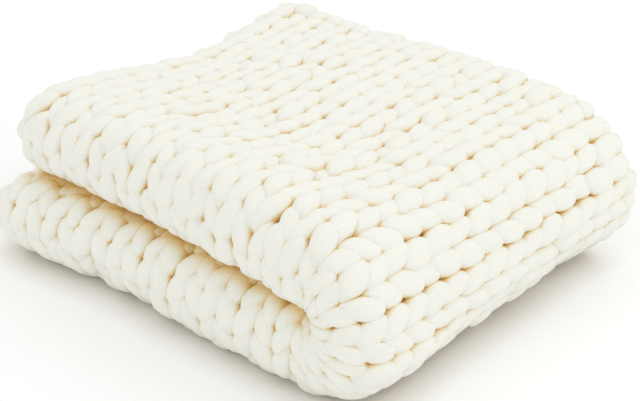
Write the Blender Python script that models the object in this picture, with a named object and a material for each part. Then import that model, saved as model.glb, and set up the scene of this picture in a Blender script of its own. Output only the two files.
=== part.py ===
"""A chunky hand-knitted weighted blanket, folded in half twice into a nearly square stack.

The knitted panel is one piece, with its columns of stitches along X. It is first doubled over at
the -X end, which makes a pair of layers joined by a roll. The pair is then doubled over at the
-Y side. That leaves four layers: two rolls, one above the other, at -X, one big round fold at
-Y, the panel's first and last rows at +X and its side edges at +Y. The stack lies on Z = 0,
with the middle of its box over the origin.
"""

import bmesh
import bpy
import numpy as np

# Driving sizes, in metres.
LAYER = 0.052  # the fabric's thickness, crest to crest
GAP = 0.003  # air between two layers
DEPTH = 0.520  # from the rolls to the open end, along X
LENGTH = 0.610  # from the big fold to the side edges, along Y

# The panel's size in stitches, and how many of them each fold takes up.
COLUMNS = 24.0
COLUMNS_IN_FOLD = 5.5
ROWS = 30.0
ROWS_IN_ROLL = 4.0

# Worked out from these.
STEP = LAYER + GAP  # from the middle of a layer to the middle of the next
HALF_STEP = STEP / 2
ROLL_RADIUS = HALF_STEP + LAYER / 2
FOLD_RADIUS = STEP + ROLL_RADIUS
HEIGHT = 4 * LAYER + 3 * GAP
FLAT_COLUMNS = (COLUMNS - COLUMNS_IN_FOLD) / 2
FLAT_ROWS = (ROWS - ROWS_IN_ROLL) / 2

# Soft swells and hollows. Places and spreads are shares of the stack's depth (0 at the rolls)
# and of its length (0 at the big fold). Lift is a share of the height there.
SWELLS = (
    # name, place in depth, place in length, spread in depth, spread in length, lift
    ("crest along the rolls", 0.12, 0.45, 0.16, 0.45, 0.090),
    ("hollow behind the crest", 0.45, 0.50, 0.18, 0.30, -0.052),
    ("slumped side edges", 0.60, 1.00, 0.25, 0.20, -0.110),
    ("low back corner", 1.00, 0.90, 0.25, 0.30, -0.080),
    ("low front corner", 0.00, 0.00, 0.22, 0.22, -0.012),
    ("raised side edge", 0.28, 1.00, 0.18, 0.16, 0.055),
    ("raised open end", 1.00, 0.35, 0.20, 0.15, 0.035),
)

# Where parts of the stack stand further out or in. Places and spreads are shares as above, and
# of the height. Pushes are in metres.
PUSHES = (
    # name, place in depth, length and height, spread in each, push in x, push in y
    ("foot of the big fold", (0.14, 0.00, 0.10), (0.32, 0.28, 0.40), 0.000, -0.028),
    ("low roll's far end", (0.00, 1.00, 0.35), (0.45, 0.30, 0.27), -0.006, 0.022),
    ("dip low on the rolls", (0.00, 0.68, 0.10), (0.30, 0.13, 0.30), 0.012, 0.000),
    ("top of the fold at the open end", (1.00, 0.00, 0.85), (0.30, 0.30, 0.30), 0.000, 0.007),
    ("middle of the fold at the open end", (1.00, 0.00, 0.48), (0.25, 0.30, 0.22), 0.007, 0.000),
    ("foot of the fold at the open end", (0.80, 0.00, 0.10), (0.25, 0.30, 0.30), 0.000, 0.011),
)

# How far parts of the outline stand in or out, in metres.
TOP_PAIR_SETBACK = 0.030  # the top pair is drawn back towards +X at its far end
GROOVE_SAG = 0.012  # the groove between the rolls lies below mid height
EDGE_DRAW_IN = 0.020  # the side edges draw in along their middle
FOLD_FLARE = 0.018  # the big fold stands further out towards the open end

# Shares of the height between which a point passes from the bottom pair to the top pair.
PAIR_CHANGE = (0.38, 0.62)
SAG_SPREAD = 0.5  # how far into the depth the sag reaches, as a share of it

# Mesh steps, and the rounded rim past the last stitches.
FLAT_STEPS = 12
ROLL_STEPS = 12
FOLD_STEPS = 22
RIM_REACH = 0.16  # in stitches
RIM_THICKNESS = 0.60  # as a share of the layer's

YARN_COLOUR = (0.87, 0.82, 0.70, 1.0)
YARN_ROUGHNESS = 0.75


def clear_scene():
    for item in list(bpy.data.objects):
        bpy.data.objects.remove(item, do_unlink=True)


def ease(share):
    """A smooth step from 0 to 1."""
    share = np.clip(share, 0.0, 1.0)
    return share * share * (3.0 - 2.0 * share)


def doubled(count, flat_count, fold_count, reach, radius, turn_radius):
    """Where a line that is doubled over has got to after so many stitches.

    It runs in from reach to radius, turns half a circle of turn_radius and runs back out.
    Returns its distance, its height above the middle of the turn, and its outward normal.
    """
    spacing = (reach - radius) / flat_count
    turned = np.clip((count - flat_count) / fold_count, 0.0, 1.0) * np.pi
    before = np.maximum(flat_count - count, 0.0) * spacing
    after = np.maximum(count - flat_count - fold_count, 0.0) * spacing
    out, up = -np.sin(turned), np.cos(turned)
    return radius + before + after + turn_radius * out, turn_radius * up, out, up


def folded(column, row, offset):
    """The evenly folded panel's point at a stitch, offset metres out from its middle."""
    x, level, out_x, out_level = doubled(row, FLAT_ROWS, ROWS_IN_ROLL, DEPTH, ROLL_RADIUS, HALF_STEP)
    y, z, out_y, out_z = doubled(column, FLAT_COLUMNS, COLUMNS_IN_FOLD, LENGTH, FOLD_RADIUS, STEP)
    level = level + offset * out_level
    return x + offset * out_x, y + level * out_y, HEIGHT / 2 + z + level * out_z


def settled(x, y, z):
    """Moves a point of the even stack to where it lies in the soft, uneven one."""
    depth, length, high = x / DEPTH, y / LENGTH, z / HEIGHT
    lift = 0.0
    for _, place_x, place_y, spread_x, spread_y, share in SWELLS:
        away = ((depth - place_x) / spread_x) ** 2 + ((length - place_y) / spread_y) ** 2
        lift = lift + share * np.exp(-away)
    low, full = PAIR_CHANGE
    top_pair = ease((high - low) / (full - low))
    mid_height = 4.0 * np.clip(high * (1.0 - high), 0.0, 1.0)
    at_rolls = np.exp(-((depth / SAG_SPREAD) ** 2)) * (1.0 - 0.5 * length)
    bowed = np.sin(np.pi * np.clip(depth, 0.0, 1.0))
    drawn_in = EDGE_DRAW_IN * bowed * ease(2.0 * length - 1.0)
    flared = FOLD_FLARE * ease(depth) * ease(1.0 - length)
    push_x, push_y = 0.0, 0.0
    for _, middle, spread, most_x, most_y in PUSHES:
        shares = zip((depth, length, high), middle, spread)
        near = np.exp(-sum(((here - there) / reach) ** 2 for here, there, reach in shares))
        push_x = push_x + most_x * near
        push_y = push_y + most_y * near
    return (
        x + push_x + TOP_PAIR_SETBACK * top_pair * ease(length),
        y + push_y - drawn_in - flared,
        z * (1.0 + lift) - GROOVE_SAG * mid_height * at_rolls,
    )


def stations(flat_count, fold_count, fold_steps):
    """The stitch counts at which the mesh is cut, closer together round the fold."""
    first = np.linspace(0.0, flat_count, FLAT_STEPS + 1)
    turn = flat_count + np.linspace(0.0, fold_count, fold_steps + 1)[1:-1]
    return np.concatenate([first, turn, flat_count + fold_count + first])


def with_rim(counts):
    """Pairs of stitch count and share of thickness, with a thinner rim past either end."""
    rows = [(counts[0] - RIM_REACH, RIM_THICKNESS)]
    rows += [(count, 1.0) for count in counts]
    return rows + [(counts[-1] + RIM_REACH, RIM_THICKNESS)]


def panel_mesh():
    """The folded panel as one closed mesh: rings round its thickness, one at each column."""
    columns = with_rim(stations(FLAT_COLUMNS, COLUMNS_IN_FOLD, FOLD_STEPS))
    rows = with_rim(stations(FLAT_ROWS, ROWS_IN_ROLL, ROLL_STEPS))
    ring = [(row, share) for row, share in rows] + [(row, -share) for row, share in reversed(rows)]
    mesh = bmesh.new()
    rings = []
    for column, thickness in columns:
        points = []
        for row, share in ring:
            point = settled(*folded(column, row, thickness * share * LAYER / 2))
            points.append(mesh.verts.new([float(value) for value in point]))
        rings.append(points)
    for here, there in zip(rings, rings[1:]):
        for index in range(len(ring)):
            after = (index + 1) % len(ring)
            mesh.faces.new((here[index], here[after], there[after], there[index]))
    for end in (rings[0], rings[-1]):
        for index in range(len(rows) - 1):
            mesh.faces.new((end[index], end[index + 1], end[-index - 2], end[-index - 1]))
    bmesh.ops.recalc_face_normals(mesh, faces=mesh.faces)
    return mesh


def centre_on_origin(mesh):
    """Puts the middle of the mesh's box over the origin and its lowest point on Z = 0."""
    places = np.array([vertex.co for vertex in mesh.verts])
    low, high = places.min(axis=0), places.max(axis=0)
    middle = (low + high) / 2
    bmesh.ops.translate(mesh, verts=mesh.verts, vec=(-middle[0], -middle[1], -low[2]))


def yarn_material():
    material = bpy.data.materials.new("ivory_yarn")
    material.use_nodes = True
    shader = material.node_tree.nodes["Principled BSDF"]
    shader.inputs["Base Color"].default_value = YARN_COLOUR
    shader.inputs["Roughness"].default_value = YARN_ROUGHNESS
    shader.inputs["Metallic"].default_value = 0.0
    return material


def build_blanket():
    mesh = panel_mesh()
    centre_on_origin(mesh)
    data = bpy.data.meshes.new("knitted_blanket")
    mesh.to_mesh(data)
    mesh.free()
    data.materials.append(yarn_material())
    data.shade_smooth()
    blanket = bpy.data.objects.new("knitted_blanket", data)
    bpy.context.scene.collection.objects.link(blanket)


clear_scene()
build_blanket()
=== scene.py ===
"""The looks of a chunky hand-knitted weighted blanket, folded in half twice.

One thick tube yarn is knitted into a panel of stocking stitch. It runs back and forth, a row at a
time, in stitches that interlock, and the panel lies on the same folded shape as the CAD solid. The
yarn is cut into pieces of a few rows each.
"""

import math

import bpy
import numpy as np
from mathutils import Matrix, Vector


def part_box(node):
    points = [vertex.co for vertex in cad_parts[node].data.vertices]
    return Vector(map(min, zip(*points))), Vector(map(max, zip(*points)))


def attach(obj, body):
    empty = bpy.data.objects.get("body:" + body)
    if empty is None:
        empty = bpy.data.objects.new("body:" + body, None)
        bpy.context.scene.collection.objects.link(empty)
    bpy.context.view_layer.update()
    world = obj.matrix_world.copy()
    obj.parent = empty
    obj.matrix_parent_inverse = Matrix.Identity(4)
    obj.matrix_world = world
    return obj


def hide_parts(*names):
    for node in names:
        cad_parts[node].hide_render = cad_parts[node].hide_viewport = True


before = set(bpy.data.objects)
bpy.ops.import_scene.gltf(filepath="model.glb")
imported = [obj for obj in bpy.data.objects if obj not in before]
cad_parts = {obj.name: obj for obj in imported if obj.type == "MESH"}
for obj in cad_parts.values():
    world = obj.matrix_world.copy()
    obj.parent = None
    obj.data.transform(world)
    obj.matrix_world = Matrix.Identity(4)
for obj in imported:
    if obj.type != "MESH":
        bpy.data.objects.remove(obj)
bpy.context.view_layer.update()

NODE = "knitted_blanket"

# The folded shape, in metres and stitches, as the CAD solid has it. Depth runs along x, away from
# the rolls, and length along y, away from the big fold.
LAYER = 0.052  # one layer's thickness
GAP = 0.003  # between two layers
DEPTH = 0.520
LENGTH = 0.610
COLUMNS = 24
COLUMNS_IN_FOLD = 5.5
ROWS = 30
ROWS_IN_ROLL = 4.0
STEP = LAYER + GAP
HALF_STEP = STEP / 2
ROLL_RADIUS = HALF_STEP + LAYER / 2
FOLD_RADIUS = STEP + ROLL_RADIUS
HEIGHT = 4 * LAYER + 3 * GAP
FLAT_COLUMNS = (COLUMNS - COLUMNS_IN_FOLD) / 2
FLAT_ROWS = (ROWS - ROWS_IN_ROLL) / 2
SWELLS = (
    # name, place in depth, place in length, spread in depth, spread in length, lift
    ("crest along the rolls", 0.12, 0.45, 0.16, 0.45, 0.090),
    ("hollow behind the crest", 0.45, 0.50, 0.18, 0.30, -0.052),
    ("slumped side edges", 0.60, 1.00, 0.25, 0.20, -0.110),
    ("low back corner", 1.00, 0.90, 0.25, 0.30, -0.080),
    ("low front corner", 0.00, 0.00, 0.22, 0.22, -0.012),
    ("raised side edge", 0.28, 1.00, 0.18, 0.16, 0.055),
    ("raised open end", 1.00, 0.35, 0.20, 0.15, 0.035),
)
PUSHES = (
    # name, place in depth, length and height, spread in each, push in x, push in y
    ("foot of the big fold", (0.14, 0.00, 0.10), (0.32, 0.28, 0.40), 0.000, -0.028),
    ("low roll's far end", (0.00, 1.00, 0.35), (0.45, 0.30, 0.27), -0.006, 0.022),
    ("dip low on the rolls", (0.00, 0.68, 0.10), (0.30, 0.13, 0.30), 0.012, 0.000),
    ("top of the fold at the open end", (1.00, 0.00, 0.85), (0.30, 0.30, 0.30), 0.000, 0.007),
    ("middle of the fold at the open end", (1.00, 0.00, 0.48), (0.25, 0.30, 0.22), 0.007, 0.000),
    ("foot of the fold at the open end", (0.80, 0.00, 0.10), (0.25, 0.30, 0.30), 0.000, 0.011),
)
TOP_PAIR_SETBACK = 0.030  # how far back the top pair of layers lies at the side edges
PAIR_CHANGE = (0.38, 0.62)  # shares of the height between which one pair gives way to the other
GROOVE_SAG = 0.012  # how far the middle of the stack's height sags at the rolls
SAG_SPREAD = 0.5  # how far in from the rolls that reaches, as a share of the depth
EDGE_DRAW_IN = 0.020  # how far the side edges are bowed in
FOLD_FLARE = 0.018  # how far the big fold stands out at the open end

# The steps that the CAD solid takes along each flat stretch and round each fold.
FLAT_STEPS = 12
ROLL_STEPS = 12
FOLD_STEPS = 22

# Stitch spacing on the flat, in metres.
COLUMN_WIDTH = (LENGTH - FOLD_RADIUS) / FLAT_COLUMNS
ROW_HEIGHT = (DEPTH - ROLL_RADIUS) / FLAT_ROWS

# The stitch, in metres. The yarn is pinched where it crosses the middle of the fabric, between a
# leg on the front and a head on the back.
LEAN = 0.0092  # how far a leg swings sideways
LEAN_ON_ROLLS = 0.0112  # the same, where the rows are bent round the rolls
ROLL_SIDE = 5.0  # how many rows each side of the middle one that reaches
ROLL_SIDE_EASE = 2.0  # over how many of those rows it fades
SPREAD = 0.0145  # how strongly a loop's two sides stand apart where they dip
REACH = 0.0350  # half the loop's height
EDGE_REACH = 0.0100  # the same, in the cast-on and bind-off rows
EDGE_ROW_OUT = 0.10  # how far those two rows lie out past the others, in rows
FLATNESS = 0.50  # how long the legs stay out before they dip
LEG_OFFSET = (0.0070, 0.0140, -0.0112)  # out from the middle at the pinch, the leg and the head
LEG_WIDTH = (0.0074, 0.0160, 0.0140)  # half widths at the same places
LEG_DEPTH = (0.0114, 0.0125, 0.0105)  # half thicknesses at the same places
STRETCH_SHARE = 0.75  # how strongly the yarn's width follows the fabric's stretch
STRETCH_LIMITS = (0.55, 1.25)  # the stretches past which it follows no further
SQUARENESS = 0.80  # of the yarn's section: 1 is an ellipse, and less is squarer
EDGE_BULGE = 0.20  # how far the yarn turns out past the last column, in columns
EDGE_RISE = 0.0140  # how far it comes forward there
COLUMN_INSET = -0.04  # between the panel's side edges and its outermost columns, in columns
ROW_INSET = 0.14  # between the panel's ends and its first and last rows, in rows

# Unevenness of single legs, one standard deviation, in metres or as a share.
UNEVEN_PLACE = 0.0022
UNEVEN_RISE = 0.0018
UNEVEN_GIRTH = 0.070
UNEVEN_LIMIT = 2.0  # in standard deviations

# Slow unevenness over the panel, as a sum of waves.
DRIFT_ACROSS = 0.060  # in columns, and in rows
DRIFT_RISE = 0.0016  # in metres
DRIFT_WAVES = 5
DRIFT_PACE = 0.45  # the waves' radians a stitch, one standard deviation

# Where the yarn lies deep in the fabric, and painted shade turns it amber.
DEEP_CORE = 0.004  # metres each side of the fabric's middle that are fully so
DEEP_FADE = 0.013  # metres over which it fades from there
DEEP_EDGE = 0.8  # stitches over which it fades towards the panel's edges

PIECES = (
    # name, first row, row after the last, segments a stitch, sides
    ("yarn_rows_01_to_05", 0, 5, 40, 16),
    ("yarn_rows_06_to_10", 5, 10, 40, 16),
    ("yarn_rows_11_to_15", 10, 15, 40, 16),
    ("yarn_rows_16_to_20", 15, 20, 36, 14),
    ("yarn_rows_21_to_25", 20, 25, 26, 12),
    ("yarn_rows_26_to_30", 25, 30, 26, 12),
)
LINK_SEGMENTS = 14
NUDGE = 1e-3  # a small step, in metres or columns, to find a direction with
FIRST_SEED = 41
DRIFT_SEED = 141


def ease(share):
    """A smooth step from 0 to 1."""
    share = np.clip(share, 0.0, 1.0)
    return share * share * (3.0 - 2.0 * share)


def doubled(count, flat_count, fold_count, reach, radius, turn_radius):
    """Where a line that is doubled over has got to after so many stitches."""
    spacing = (reach - radius) / flat_count
    turned = np.clip((count - flat_count) / fold_count, 0.0, 1.0) * np.pi
    before = np.maximum(flat_count - count, 0.0) * spacing
    after = np.maximum(count - flat_count - fold_count, 0.0) * spacing
    out, up = -np.sin(turned), np.cos(turned)
    return radius + before + after + turn_radius * out, turn_radius * up, out, up


def folded(column, row, offset):
    """The evenly folded panel's point at a stitch, offset metres out from its middle."""
    x, level, out_x, out_level = doubled(
        row, FLAT_ROWS, ROWS_IN_ROLL, DEPTH, ROLL_RADIUS, HALF_STEP
    )
    y, z, out_y, out_z = doubled(
        column, FLAT_COLUMNS, COLUMNS_IN_FOLD, LENGTH, FOLD_RADIUS, STEP
    )
    level = level + offset * out_level
    return x + offset * out_x, y + level * out_y, HEIGHT / 2 + z + level * out_z


def settled(x, y, z):
    """Moves a point of the even stack to where it lies in the soft, uneven one."""
    depth, length, high = x / DEPTH, y / LENGTH, z / HEIGHT
    lift = 0.0
    for _, place_x, place_y, spread_x, spread_y, share in SWELLS:
        away = ((depth - place_x) / spread_x) ** 2 + ((length - place_y) / spread_y) ** 2
        lift = lift + share * np.exp(-away)
    low, full = PAIR_CHANGE
    top_pair = ease((high - low) / (full - low))
    mid_height = 4.0 * np.clip(high * (1.0 - high), 0.0, 1.0)
    at_rolls = np.exp(-((depth / SAG_SPREAD) ** 2)) * (1.0 - 0.5 * length)
    bowed = np.sin(np.pi * np.clip(depth, 0.0, 1.0))
    drawn_in = EDGE_DRAW_IN * bowed * ease(2.0 * length - 1.0)
    flared = FOLD_FLARE * ease(depth) * ease(1.0 - length)
    push_x, push_y = 0.0, 0.0
    for _, middle, spread, most_x, most_y in PUSHES:
        shares = zip((depth, length, high), middle, spread)
        near = np.exp(-sum(((here - there) / reach) ** 2 for here, there, reach in shares))
        push_x = push_x + most_x * near
        push_y = push_y + most_y * near
    return (
        x + push_x + TOP_PAIR_SETBACK * top_pair * ease(length),
        y + push_y - drawn_in - flared,
        z * (1.0 + lift) - GROOVE_SAG * mid_height * at_rolls,
    )


def stations(flat_count, fold_count, fold_steps):
    """The stitch counts at which the CAD solid is cut."""
    first = np.linspace(0.0, flat_count, FLAT_STEPS + 1)
    turn = flat_count + np.linspace(0.0, fold_count, fold_steps + 1)[1:-1]
    return np.concatenate([first, turn, flat_count + fold_count + first])


def frame_shift():
    """What takes the folded shape's own origin to the frame's."""
    columns = stations(FLAT_COLUMNS, COLUMNS_IN_FOLD, FOLD_STEPS)
    rows = stations(FLAT_ROWS, ROWS_IN_ROLL, ROLL_STEPS)
    grid = np.meshgrid(columns, rows, (-LAYER / 2, LAYER / 2), indexing="ij")
    body = np.stack(settled(*folded(*grid)), axis=-1).reshape(-1, 3)
    # The solid's rims stand out past its free ends only, so the box's low corner is the body's.
    low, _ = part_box(NODE)
    return np.array([low[0], low[1], low[2]]) - body.min(axis=0)


SHIFT = frame_shift()


def place(column, row, offset):
    """A point of the panel in the frame."""
    return np.stack(settled(*folded(column, row, offset)), axis=-1) + SHIFT


def drift(rng, size, column, row):
    """A slow, smooth unevenness over the whole panel."""
    total = np.zeros_like(column)
    for _ in range(DRIFT_WAVES):
        along, across = rng.normal(0.0, DRIFT_PACE, 2)
        start = rng.uniform(0.0, 2.0 * np.pi)
        total = total + np.sin(along * column + across * row + start)
    return size * total / math.sqrt(DRIFT_WAVES)


def blended(values, swing):
    """From the value at the pinch (swing 0) to those at the leg (1) and the head (-1)."""
    pinch, leg, head = values
    return pinch + (leg - head) / 2 * swing + ((leg + head) / 2 - pinch) * swing**2


def knitted_row(row, reach, forward, segments, rng):
    """One row of stitches, as points along the yarn.

    Each point is a column, row, offset, half width, half thickness and how far it has swung, from
    0 at the pinch to 1 at a leg or a head.
    """
    t = np.linspace(0.0, 2.0 * np.pi * COLUMNS, COLUMNS * segments + 1)
    swing = -np.cos(2.0 * t)
    swing = swing * (1.0 + FLATNESS * (1.0 - swing**2))
    leg = np.minimum((t / np.pi).astype(int), 2 * COLUMNS - 1)
    share = np.sin(t) ** 2

    def uneven(size):
        most = UNEVEN_LIMIT * size
        return np.clip(rng.normal(0.0, size, 2 * COLUMNS), -most, most)[leg] * share

    on_roll = ease((ROLL_SIDE - abs(row - ROWS / 2)) / ROLL_SIDE_EASE)
    lean = LEAN + (LEAN_ON_ROLLS - LEAN) * on_roll
    sideways = lean * np.sin(2.0 * t) - SPREAD * np.sin(t) * (1.0 - swing) / 2.0
    used = 1.0 - 2.0 * COLUMN_INSET / COLUMNS
    moved = (sideways + uneven(UNEVEN_PLACE)) / COLUMN_WIDTH
    column = COLUMN_INSET + used * t / (2.0 * np.pi) + moved
    used = 1.0 - 2.0 * ROW_INSET / ROWS
    moved = (-reach * np.cos(t) + uneven(UNEVEN_PLACE)) / ROW_HEIGHT
    line = ROW_INSET + used * row + moved
    offset = blended(LEG_OFFSET, swing) + uneven(UNEVEN_RISE)
    wide = blended(LEG_WIDTH, swing) * (1.0 + uneven(UNEVEN_GIRTH))
    deep = blended(LEG_DEPTH, swing) * (1.0 + uneven(UNEVEN_GIRTH))
    points = np.stack([column, line, offset, wide, deep, np.abs(swing)], axis=-1)
    return points if forward else points[::-1]


def turn(before, after, forward):
    """The yarn's turn at a side edge, from the end of one row to the start of the next."""
    share = np.linspace(0.0, 1.0, LINK_SEGMENTS + 1)[1:-1, None]
    points = before + (after - before) * (1.0 - np.cos(np.pi * share)) / 2
    arch = np.sin(np.pi * share[:, 0])
    points[:, 0] += (EDGE_BULGE if forward else -EDGE_BULGE) * arch
    points[:, 2] += EDGE_RISE * arch
    return points


def yarn_path(first, last, segments):
    """The yarn through some rows, and on to the row after them."""
    rows = []
    for row in range(first, last + 1):
        rng = np.random.default_rng(FIRST_SEED + row)
        rows.append(knitted_row(row + 0.5, REACH, row % 2 == 0, segments, rng))
    if first == 0:
        rng = np.random.default_rng(FIRST_SEED - 1)
        rows.insert(0, knitted_row(-EDGE_ROW_OUT, EDGE_REACH, False, segments, rng))
    if last == ROWS:
        rng = np.random.default_rng(FIRST_SEED + ROWS + 1)
        rows[-1] = knitted_row(ROWS + EDGE_ROW_OUT, EDGE_REACH, True, segments, rng)
    path = [rows[0]]
    for before, after in zip(rows, rows[1:]):
        path.append(turn(before[-1], after[0], after[0, 0] > COLUMNS / 2))
        path.append(after)
    if last < ROWS:
        path[-1] = path[-1][:1]
    return np.concatenate(path)


def unit(vectors):
    """The vectors at length 1."""
    return vectors / np.linalg.norm(vectors, axis=1, keepdims=True)


def yarn_rings(path, sides):
    """Rings of points round the yarn, each point's depth in the fabric, and the length so far."""
    column, row, offset, wide, deep, swung = path.T
    rng = np.random.default_rng(DRIFT_SEED)
    moves = [drift(rng, size, column, row) for size in (DRIFT_ACROSS, DRIFT_ACROSS, DRIFT_RISE)]
    column, row, offset = column + moves[0], row + moves[1], offset + moves[2]
    middle = place(column, row, offset)
    tangent = unit(np.gradient(middle, axis=0))
    normal = unit(place(column, row, offset + NUDGE) - place(column, row, offset - NUDGE))
    across = unit(np.cross(normal, tangent))
    out = np.cross(tangent, across)
    wider = place(column + NUDGE, row, offset) - place(column - NUDGE, row, offset)
    stretch = np.linalg.norm(wider, axis=1) / (2 * NUDGE * COLUMN_WIDTH)
    # Where the fabric is stretched, the legs widen and the pinches thin, so the holes open. Where
    # it is squeezed, all of the yarn narrows.
    share = STRETCH_SHARE * np.where(stretch > 1.0, 2.0 * swung - 1.0, 1.0)
    wide = wide * np.clip(stretch, *STRETCH_LIMITS) ** share
    around = np.linspace(0.0, 2.0 * np.pi, sides + 1)[:-1]
    level_share, height_share = (
        np.sign(part) * np.abs(part) ** SQUARENESS for part in (np.cos(around), np.sin(around))
    )
    beside = across[:, None, :] * (wide[:, None] * level_share)[..., None]
    above = out[:, None, :] * (deep[:, None] * height_share)[..., None]
    rings = middle[:, None, :] + beside + above
    level = offset[:, None] + ((beside + above) * normal[:, None, :]).sum(axis=2)
    # This depth masks painted shade: the yarn is darkened amber deep in the fabric's middle, less so
    # near the panel's edges.
    from_sides = ease(np.minimum(column, COLUMNS - column) / DEEP_EDGE)
    from_ends = ease(np.minimum(row, ROWS - row) / DEEP_EDGE)
    inside = from_sides * from_ends
    depth = (1.0 - ease((np.abs(level) - DEEP_CORE) / DEEP_FADE)) * inside[:, None]
    rings[..., 2] = np.maximum(rings[..., 2], 0.0)
    steps = np.linalg.norm(np.diff(middle, axis=0), axis=1)
    return rings, depth, np.concatenate([[0.0], np.cumsum(steps)])


def tube_mesh(name, rings, depth, along, swung):
    """A closed tube through the rings, with its length and share of the way round as its UV map."""
    count, sides = rings.shape[:2]
    start = (np.arange(count - 1) * sides)[:, None]
    here = np.arange(sides)[None, :]
    after = (here + 1) % sides
    corners = (start + here, start + after, start + sides + after, start + sides + here)
    quads = np.stack(corners, axis=-1).reshape(-1)
    caps = np.concatenate([np.arange(sides)[::-1], (count - 1) * sides + np.arange(sides)])
    loops = np.concatenate([quads, caps]).astype(np.int32)
    quad_starts = np.arange(len(quads) // 4) * 4
    cap_starts = len(quads) + np.array([0, sides])
    starts = np.concatenate([quad_starts, cap_starts]).astype(np.int32)
    mesh = bpy.data.meshes.new(name)
    mesh.vertices.add(count * sides)
    mesh.vertices.foreach_set("co", rings.reshape(-1).astype(np.float32))
    mesh.loops.add(len(loops))
    mesh.loops.foreach_set("vertex_index", loops)
    mesh.polygons.add(len(starts))
    mesh.polygons.foreach_set("loop_start", starts)
    mesh.update(calc_edges=True)
    mesh.validate()
    mesh.shade_smooth()
    low = np.broadcast_to(along[:-1, None], (count - 1, sides))
    high = np.broadcast_to(along[1:, None], (count - 1, sides))
    left = np.broadcast_to(np.arange(sides) / sides, (count - 1, sides))
    right = left + 1.0 / sides
    uv = np.stack([low, left, low, right, high, right, high, left], axis=-1).reshape(-1)
    uv = np.concatenate([uv, np.zeros(2 * len(caps))]).astype(np.float32)
    mesh.uv_layers.new(name="yarn").data.foreach_set("uv", uv)
    swung = np.broadcast_to(swung[:, None], (count, sides))
    for label, values in (("depth", depth), ("swung", swung)):
        attribute = mesh.attributes.new(label, "FLOAT", "POINT")
        values = np.ascontiguousarray(values, dtype=np.float32)
        attribute.data.foreach_set("value", values.reshape(-1))
    return mesh


# The yarn's colours, linear, and where painted shade and a painted glow turn it amber.
CREAM = (0.893, 0.895, 0.826, 1.0)
CREAM_SHADE = (0.884, 0.882, 0.800, 1.0)
CREAM_SCALE = 9.0
# Painted shade: the amber that the yarn is darkened towards in crevices and deep in the fabric.
SHADE_AMBER = (0.820, 0.600, 0.220, 1.0)
# Painted glow: an amber emission in the hollows, standing in for light passing through the yarn.
PAINTED_GLOW = (1.0, 0.66, 0.20, 1.0)
PAINTED_GLOW_STRENGTH = 0.06
HOLLOW_REACH = 0.034  # how near other yarn closes a point in, in metres
HOLLOW_OPENNESS = 0.74  # at this openness and above, the yarn stays cream
HOLLOW_SLOPE = 1.7  # how fast painted shade turns it amber below that
DEEP_PAINTED_SHADE = 0.3  # how strong the painted amber shade is in the middle of the fabric
FLOOR_FADE = (0.005, 0.060)  # the heights over which the painted shade from hollows comes in

# The yarn's skin.
RIBS_ROUND = 46.0  # jersey ribs round the yarn
RIB_SHARE = 0.6
ROW_PITCH = 0.0021  # of the jersey's own rows, in metres
ROW_SHARE = 0.25
CREASE_STRETCH = 14.0  # creases' noise units a metre along the yarn
CREASE_SCALE = 2.6
CREASE_SQUEEZE = 1.25  # crease height at the pinch, which drops by 1 towards a leg or a head
FUZZ_SCALE = 900.0
BUMPS = (
    # name, strength, distance in metres
    ("crease", 0.80, 0.0045),
    ("weave", 0.35, 0.0003),
    ("fuzz", 0.25, 0.0004),
)
ROUGHNESS = 0.70
FUZZ_ROUGHNESS = 0.16


def node_maker(tree):
    """A function that adds a node to a tree, with its settings, and its inputs set or linked."""

    def node(kind, inputs=(), **settings):
        made = tree.nodes.new(kind)
        for key, value in settings.items():
            setattr(made, key, value)
        set_inputs(tree, made, inputs)
        return made

    return node


def set_inputs(tree, shader_node, inputs):
    """Sets a node's inputs, or links those whose value is another node's output."""
    for key, value in dict(inputs).items():
        if isinstance(value, bpy.types.NodeSocket):
            tree.links.new(value, shader_node.inputs[key])
        else:
            shader_node.inputs[key].default_value = value


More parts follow.
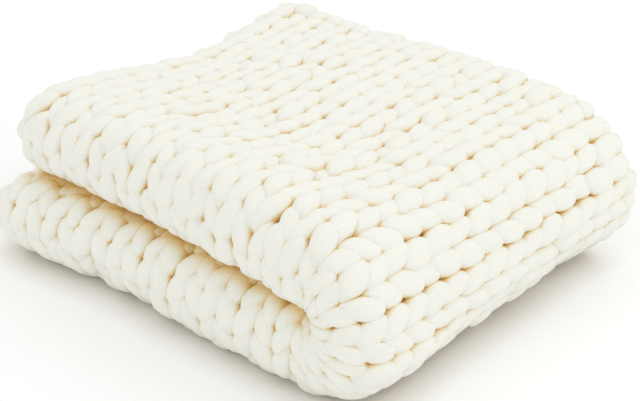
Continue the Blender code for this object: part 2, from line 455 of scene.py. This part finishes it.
def yarn_material():
    """Cream cotton tube yarn: a fine jersey skin with soft lengthwise creases."""
    material = bpy.data.materials.new("cream_tube_yarn")
    material.use_nodes = True
    tree = material.node_tree
    shader = tree.nodes["Principled BSDF"]
    node = node_maker(tree)

    def math_node(operation, *values):
        return node("ShaderNodeMath", dict(enumerate(values)), operation=operation).outputs[0]

    def noise(inputs):
        return node("ShaderNodeTexNoise", inputs).outputs["Fac"]

    uv = node("ShaderNodeUVMap", uv_map="yarn").outputs["UV"]
    along, around, _ = node("ShaderNodeSeparateXYZ", {0: uv}).outputs
    depth = node("ShaderNodeAttribute", attribute_name="depth").outputs["Fac"]
    swung = node("ShaderNodeAttribute", attribute_name="swung").outputs["Fac"]
    place_on = node("ShaderNodeTexCoord").outputs["Object"]

    # Coordinates that close up round the yarn.
    angle = math_node("MULTIPLY", around, 2.0 * math.pi)
    skin = node("ShaderNodeCombineXYZ", {
        0: math_node("MULTIPLY", along, CREASE_STRETCH),
        1: math_node("SINE", angle),
        2: math_node("COSINE", angle),
    }).outputs[0]

    # Fine jersey ribs along the yarn, crossed by its rows.
    ribs = math_node("SINE", math_node("MULTIPLY", angle, RIBS_ROUND))
    rows = math_node("SINE", math_node("MULTIPLY", along, 2.0 * math.pi / ROW_PITCH))
    ribs = math_node("MULTIPLY", ribs, RIB_SHARE)
    weave = math_node("ADD", ribs, math_node("MULTIPLY", rows, ROW_SHARE))

    # Soft creases, deeper where the yarn is squeezed, and a fuzz over all of it.
    creases = noise({"Scale": CREASE_SCALE, "Detail": 3.0, "Roughness": 0.55, "Vector": skin})
    creases = math_node("MULTIPLY", creases, math_node("SUBTRACT", CREASE_SQUEEZE, swung))
    fuzz = noise({"Scale": FUZZ_SCALE, "Detail": 2.0, "Vector": place_on})
    heights = {"crease": creases, "weave": weave, "fuzz": fuzz}
    normal = None
    for name, strength, distance in BUMPS:
        bump = {"Strength": strength, "Distance": distance, "Height": heights[name]}
        if normal is not None:
            bump["Normal"] = normal
        normal = node("ShaderNodeBump", bump).outputs["Normal"]

    # Cream, a little uneven along the yarn, with painted shade: amber darkening down between the
    # stitches, in hollows and in the middle of the fabric.
    shade = noise({"Scale": CREAM_SCALE, "Detail": 2.0, "Vector": place_on})
    cream = node(
        "ShaderNodeMix", {"A": CREAM, "B": CREAM_SHADE, "Factor": shade}, data_type="RGBA"
    ).outputs["Result"]
    # Painted shade: where other yarn closes a point in, the yarn turns amber, fading out near the
    # floor.
    openness = node("ShaderNodeAmbientOcclusion", {"Distance": HOLLOW_REACH}, samples=4).outputs["AO"]
    closed_in = math_node("SUBTRACT", HOLLOW_OPENNESS, openness)
    closed_in = node("ShaderNodeClamp", {0: math_node("MULTIPLY", closed_in, HOLLOW_SLOPE)}).outputs[0]
    height = node("ShaderNodeSeparateXYZ", {0: place_on}).outputs[2]
    off_floor = node("ShaderNodeMapRange", {
        "From Min": FLOOR_FADE[0], "From Max": FLOOR_FADE[1], "Value": height,
    }).outputs["Result"]
    hollow = math_node("MULTIPLY", closed_in, off_floor)
    painted_shade = math_node("MAXIMUM", math_node("MULTIPLY", depth, DEEP_PAINTED_SHADE), hollow)
    colour = node(
        "ShaderNodeMix", {"A": cream, "B": SHADE_AMBER, "Factor": painted_shade}, data_type="RGBA"
    ).outputs["Result"]

    rough = math_node("ADD", ROUGHNESS, math_node("MULTIPLY", fuzz, FUZZ_ROUGHNESS))
    set_inputs(tree, shader, {
        "Base Color": colour,
        "Normal": normal,
        "Roughness": rough,
        # Painted glow in the hollows, where the painted shade is.
        "Emission Color": PAINTED_GLOW,
        "Emission Strength": math_node("MULTIPLY", hollow, PAINTED_GLOW_STRENGTH),
        "Specular IOR Level": 0.30,
        "Sheen Weight": 0.20,
        "Sheen Roughness": 0.45,
    })
    return material


def knit_blanket():
    """All of the yarn, in its pieces."""
    material = yarn_material()
    for name, first, last, segments, sides in PIECES:
        path = yarn_path(first, last, segments)
        rings, depth, along = yarn_rings(path, sides)
        mesh = tube_mesh(name, rings, depth, along, path[:, 5])
        mesh.materials.append(material)
        piece = bpy.data.objects.new(name, mesh)
        bpy.context.scene.collection.objects.link(piece)
        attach(piece, "root")
        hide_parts(NODE)


# The camera's view of the middle of the folded stack.
AZIMUTH = math.radians(-48.1)
ELEVATION = math.radians(28.0)
DISTANCE = 2.48
LENS = 106.9
SENSOR = 36.0
AIM_RIGHT = 0.0116
AIM_DOWN = 0.0154


def add_camera():
    """The photo's view."""
    target = Vector((DEPTH / 2, LENGTH / 2, HEIGHT / 2)) + Vector(SHIFT)
    back = Vector((
        math.sin(AZIMUTH) * math.cos(ELEVATION),
        -math.cos(AZIMUTH) * math.cos(ELEVATION),
        math.sin(ELEVATION),
    ))
    turned = back.to_track_quat("Z", "Y")
    aim = target + turned @ Vector((AIM_RIGHT, -AIM_DOWN, 0.0))
    data = bpy.data.cameras.new("camera")
    data.lens = LENS
    data.sensor_width = SENSOR
    camera = bpy.data.objects.new("camera", data)
    camera.rotation_mode = "QUATERNION"
    camera.rotation_quaternion = turned
    camera.location = aim + DISTANCE * back
    bpy.context.scene.collection.objects.link(camera)
    bpy.context.scene.camera = camera


# One large key light from the right, under a white sky that is brighter overhead.
KEY_PLACE = (1.3, -2.2, 2.6)
KEY_AIM = (0.0, 0.0, 0.1)
KEY_SIZE = 1.6
KEY_WATTS = 11.5
SKY_LOW = 0.80
SKY_HIGH = 1.07


def add_lights():
    """The key light and the sky."""
    data = bpy.data.lights.new("key", "AREA")
    data.shape = "DISK"
    data.size = KEY_SIZE
    data.energy = KEY_WATTS
    light = bpy.data.objects.new("key", data)
    light.location = KEY_PLACE
    light.rotation_mode = "QUATERNION"
    light.rotation_quaternion = (Vector(KEY_PLACE) - Vector(KEY_AIM)).to_track_quat("Z", "Y")
    bpy.context.scene.collection.objects.link(light)
    world = bpy.data.worlds.new("sky")
    world.use_nodes = True
    tree = world.node_tree
    node = node_maker(tree)
    direction = node("ShaderNodeTexCoord").outputs["Generated"]
    upward = node("ShaderNodeSeparateXYZ", {0: direction}).outputs[2]
    strength = node("ShaderNodeMapRange", {
        "To Min": SKY_LOW, "To Max": SKY_HIGH, "Value": upward,
    }).outputs["Result"]
    set_inputs(tree, tree.nodes["Background"], {
        "Color": (1.0, 1.0, 1.0, 1.0), "Strength": strength,
    })
    bpy.context.scene.world = world
    bpy.context.scene.view_settings.view_transform = "Standard"


FLOOR_SIZE = 40.0
FLOOR_WHITE = (0.97, 0.97, 0.97, 1.0)
PAINTED_CONTACT_SHADOW = (0.76, 0.72, 0.66, 1.0)  # painted contact shadow, where the blanket touches it
CONTACT_REACH = 0.045  # how near the blanket the painted contact shadow reaches, in metres


def add_floor():
    """A white floor, with a painted contact shadow where the blanket touches it."""
    mesh = bpy.data.meshes.new("floor")
    half = FLOOR_SIZE / 2
    corners = [(-half, -half, 0.0), (half, -half, 0.0), (half, half, 0.0), (-half, half, 0.0)]
    mesh.from_pydata(corners, [], [(0, 1, 2, 3)])
    material = bpy.data.materials.new("white_floor")
    material.use_nodes = True
    tree = material.node_tree
    node = node_maker(tree)
    # Painted contact shadow: the floor is darkened where the blanket closes it in.
    openness = node("ShaderNodeAmbientOcclusion", {"Distance": CONTACT_REACH}, samples=4).outputs["AO"]
    colour = node(
        "ShaderNodeMix", {"A": PAINTED_CONTACT_SHADOW, "B": FLOOR_WHITE, "Factor": openness}, data_type="RGBA"
    ).outputs["Result"]
    set_inputs(tree, tree.nodes["Principled BSDF"], {
        "Base Color": colour,
        "Emission Color": (1.0, 1.0, 1.0, 1.0),
        "Emission Strength": 0.02,
        "Roughness": 0.9,
        "Specular IOR Level": 0.1,
    })
    mesh.materials.append(material)
    floor = bpy.data.objects.new("floor", mesh)
    bpy.context.scene.collection.objects.link(floor)


knit_blanket()
add_camera()
add_lights()
add_floor()
